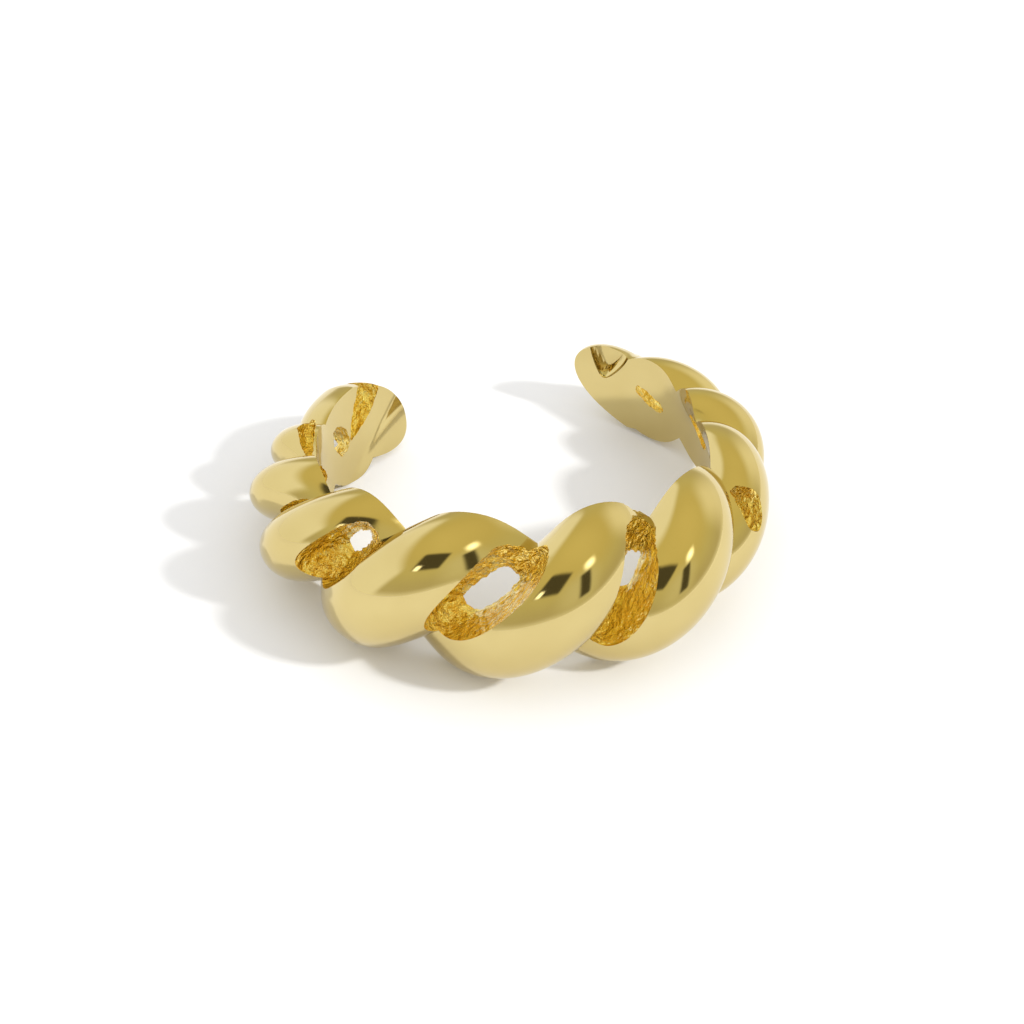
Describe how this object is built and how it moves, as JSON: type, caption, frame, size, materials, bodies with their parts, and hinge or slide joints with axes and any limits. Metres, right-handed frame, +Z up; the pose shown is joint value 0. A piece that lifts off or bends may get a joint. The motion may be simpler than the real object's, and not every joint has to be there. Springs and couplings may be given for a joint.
{
  "type": "rope ring",
  "caption": "Open finger ring of two fat strands twisted like rope, broad at the front, tapering to rounded ends, with leaf-shaped slots between the strands.",
  "frame": {"origin": "on the surface that the ring lies on, under the middle of the ring's box", "axes": "+Z up from the surface, about 7 degrees off the bore axis; -Y towards the broad front of the ring; the gap between the ends is at +Y"},
  "size_m": [0.0226, 0.021, 0.0076],
  "materials": {
    "polished_gold": "mirror-polished gold plating on the strands and the bore, left as cast inside the slots"
  },
  "bodies": {
    "root": {"rope_band": "polished_gold"}
  },
  "joints": []
}
